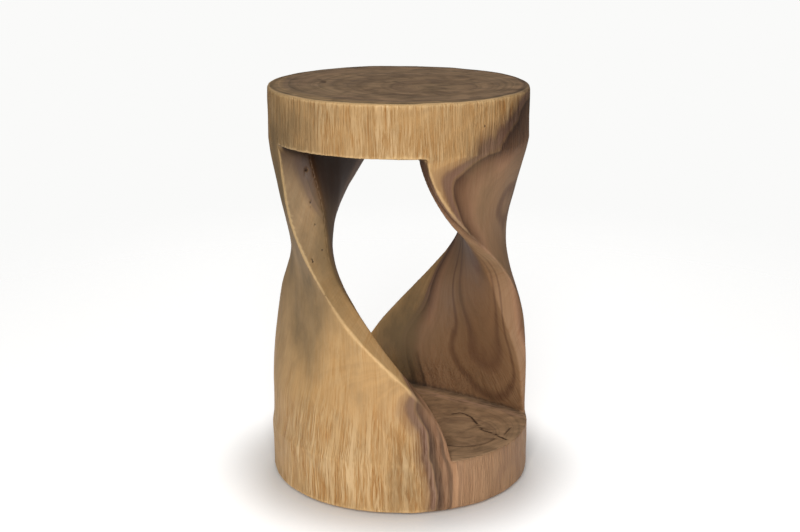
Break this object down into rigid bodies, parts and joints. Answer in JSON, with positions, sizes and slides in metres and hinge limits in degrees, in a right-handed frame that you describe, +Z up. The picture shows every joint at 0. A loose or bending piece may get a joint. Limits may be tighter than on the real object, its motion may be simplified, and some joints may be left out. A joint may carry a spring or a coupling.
{
  "type": "carved log stool",
  "caption": "Low round stool carved from a log: a thick seat drum and a like base, joined by legs that twist about the axis and leave an open passage between them.",
  "frame": {"origin": "on the floor, under the middle of the stool, where the log's axis meets it", "axes": "+Z up along the log's axis to the seat; the side that the picture shows faces -Y, with +X to its right"},
  "size_m": [0.299, 0.299, 0.4545],
  "materials": {
    "log_timber": "open-grained tropical hardwood, sanded and rubbed with a matt clear oil",
    "glide_cup_nylon": "moulded brown nylon, fine matt",
    "glide_wool_felt": "pressed grey-brown wool felt",
    "glide_nail_steel": "bright drawn wire"
  },
  "bodies": {
    "root": {"seat_drum": "log_timber", "base_drum": "log_timber", "left_twist_leg": "log_timber", "right_twist_leg": "log_timber", "glide_cup_1": "glide_cup_nylon", "glide_cup_2": "glide_cup_nylon", "glide_cup_3": "glide_cup_nylon", "glide_cup_4": "glide_cup_nylon", "glide_felt_1": "glide_wool_felt", "glide_felt_2": "glide_wool_felt", "glide_felt_3": "glide_wool_felt", "glide_felt_4": "glide_wool_felt", "glide_nails": "glide_nail_steel"}
  },
  "joints": []
}
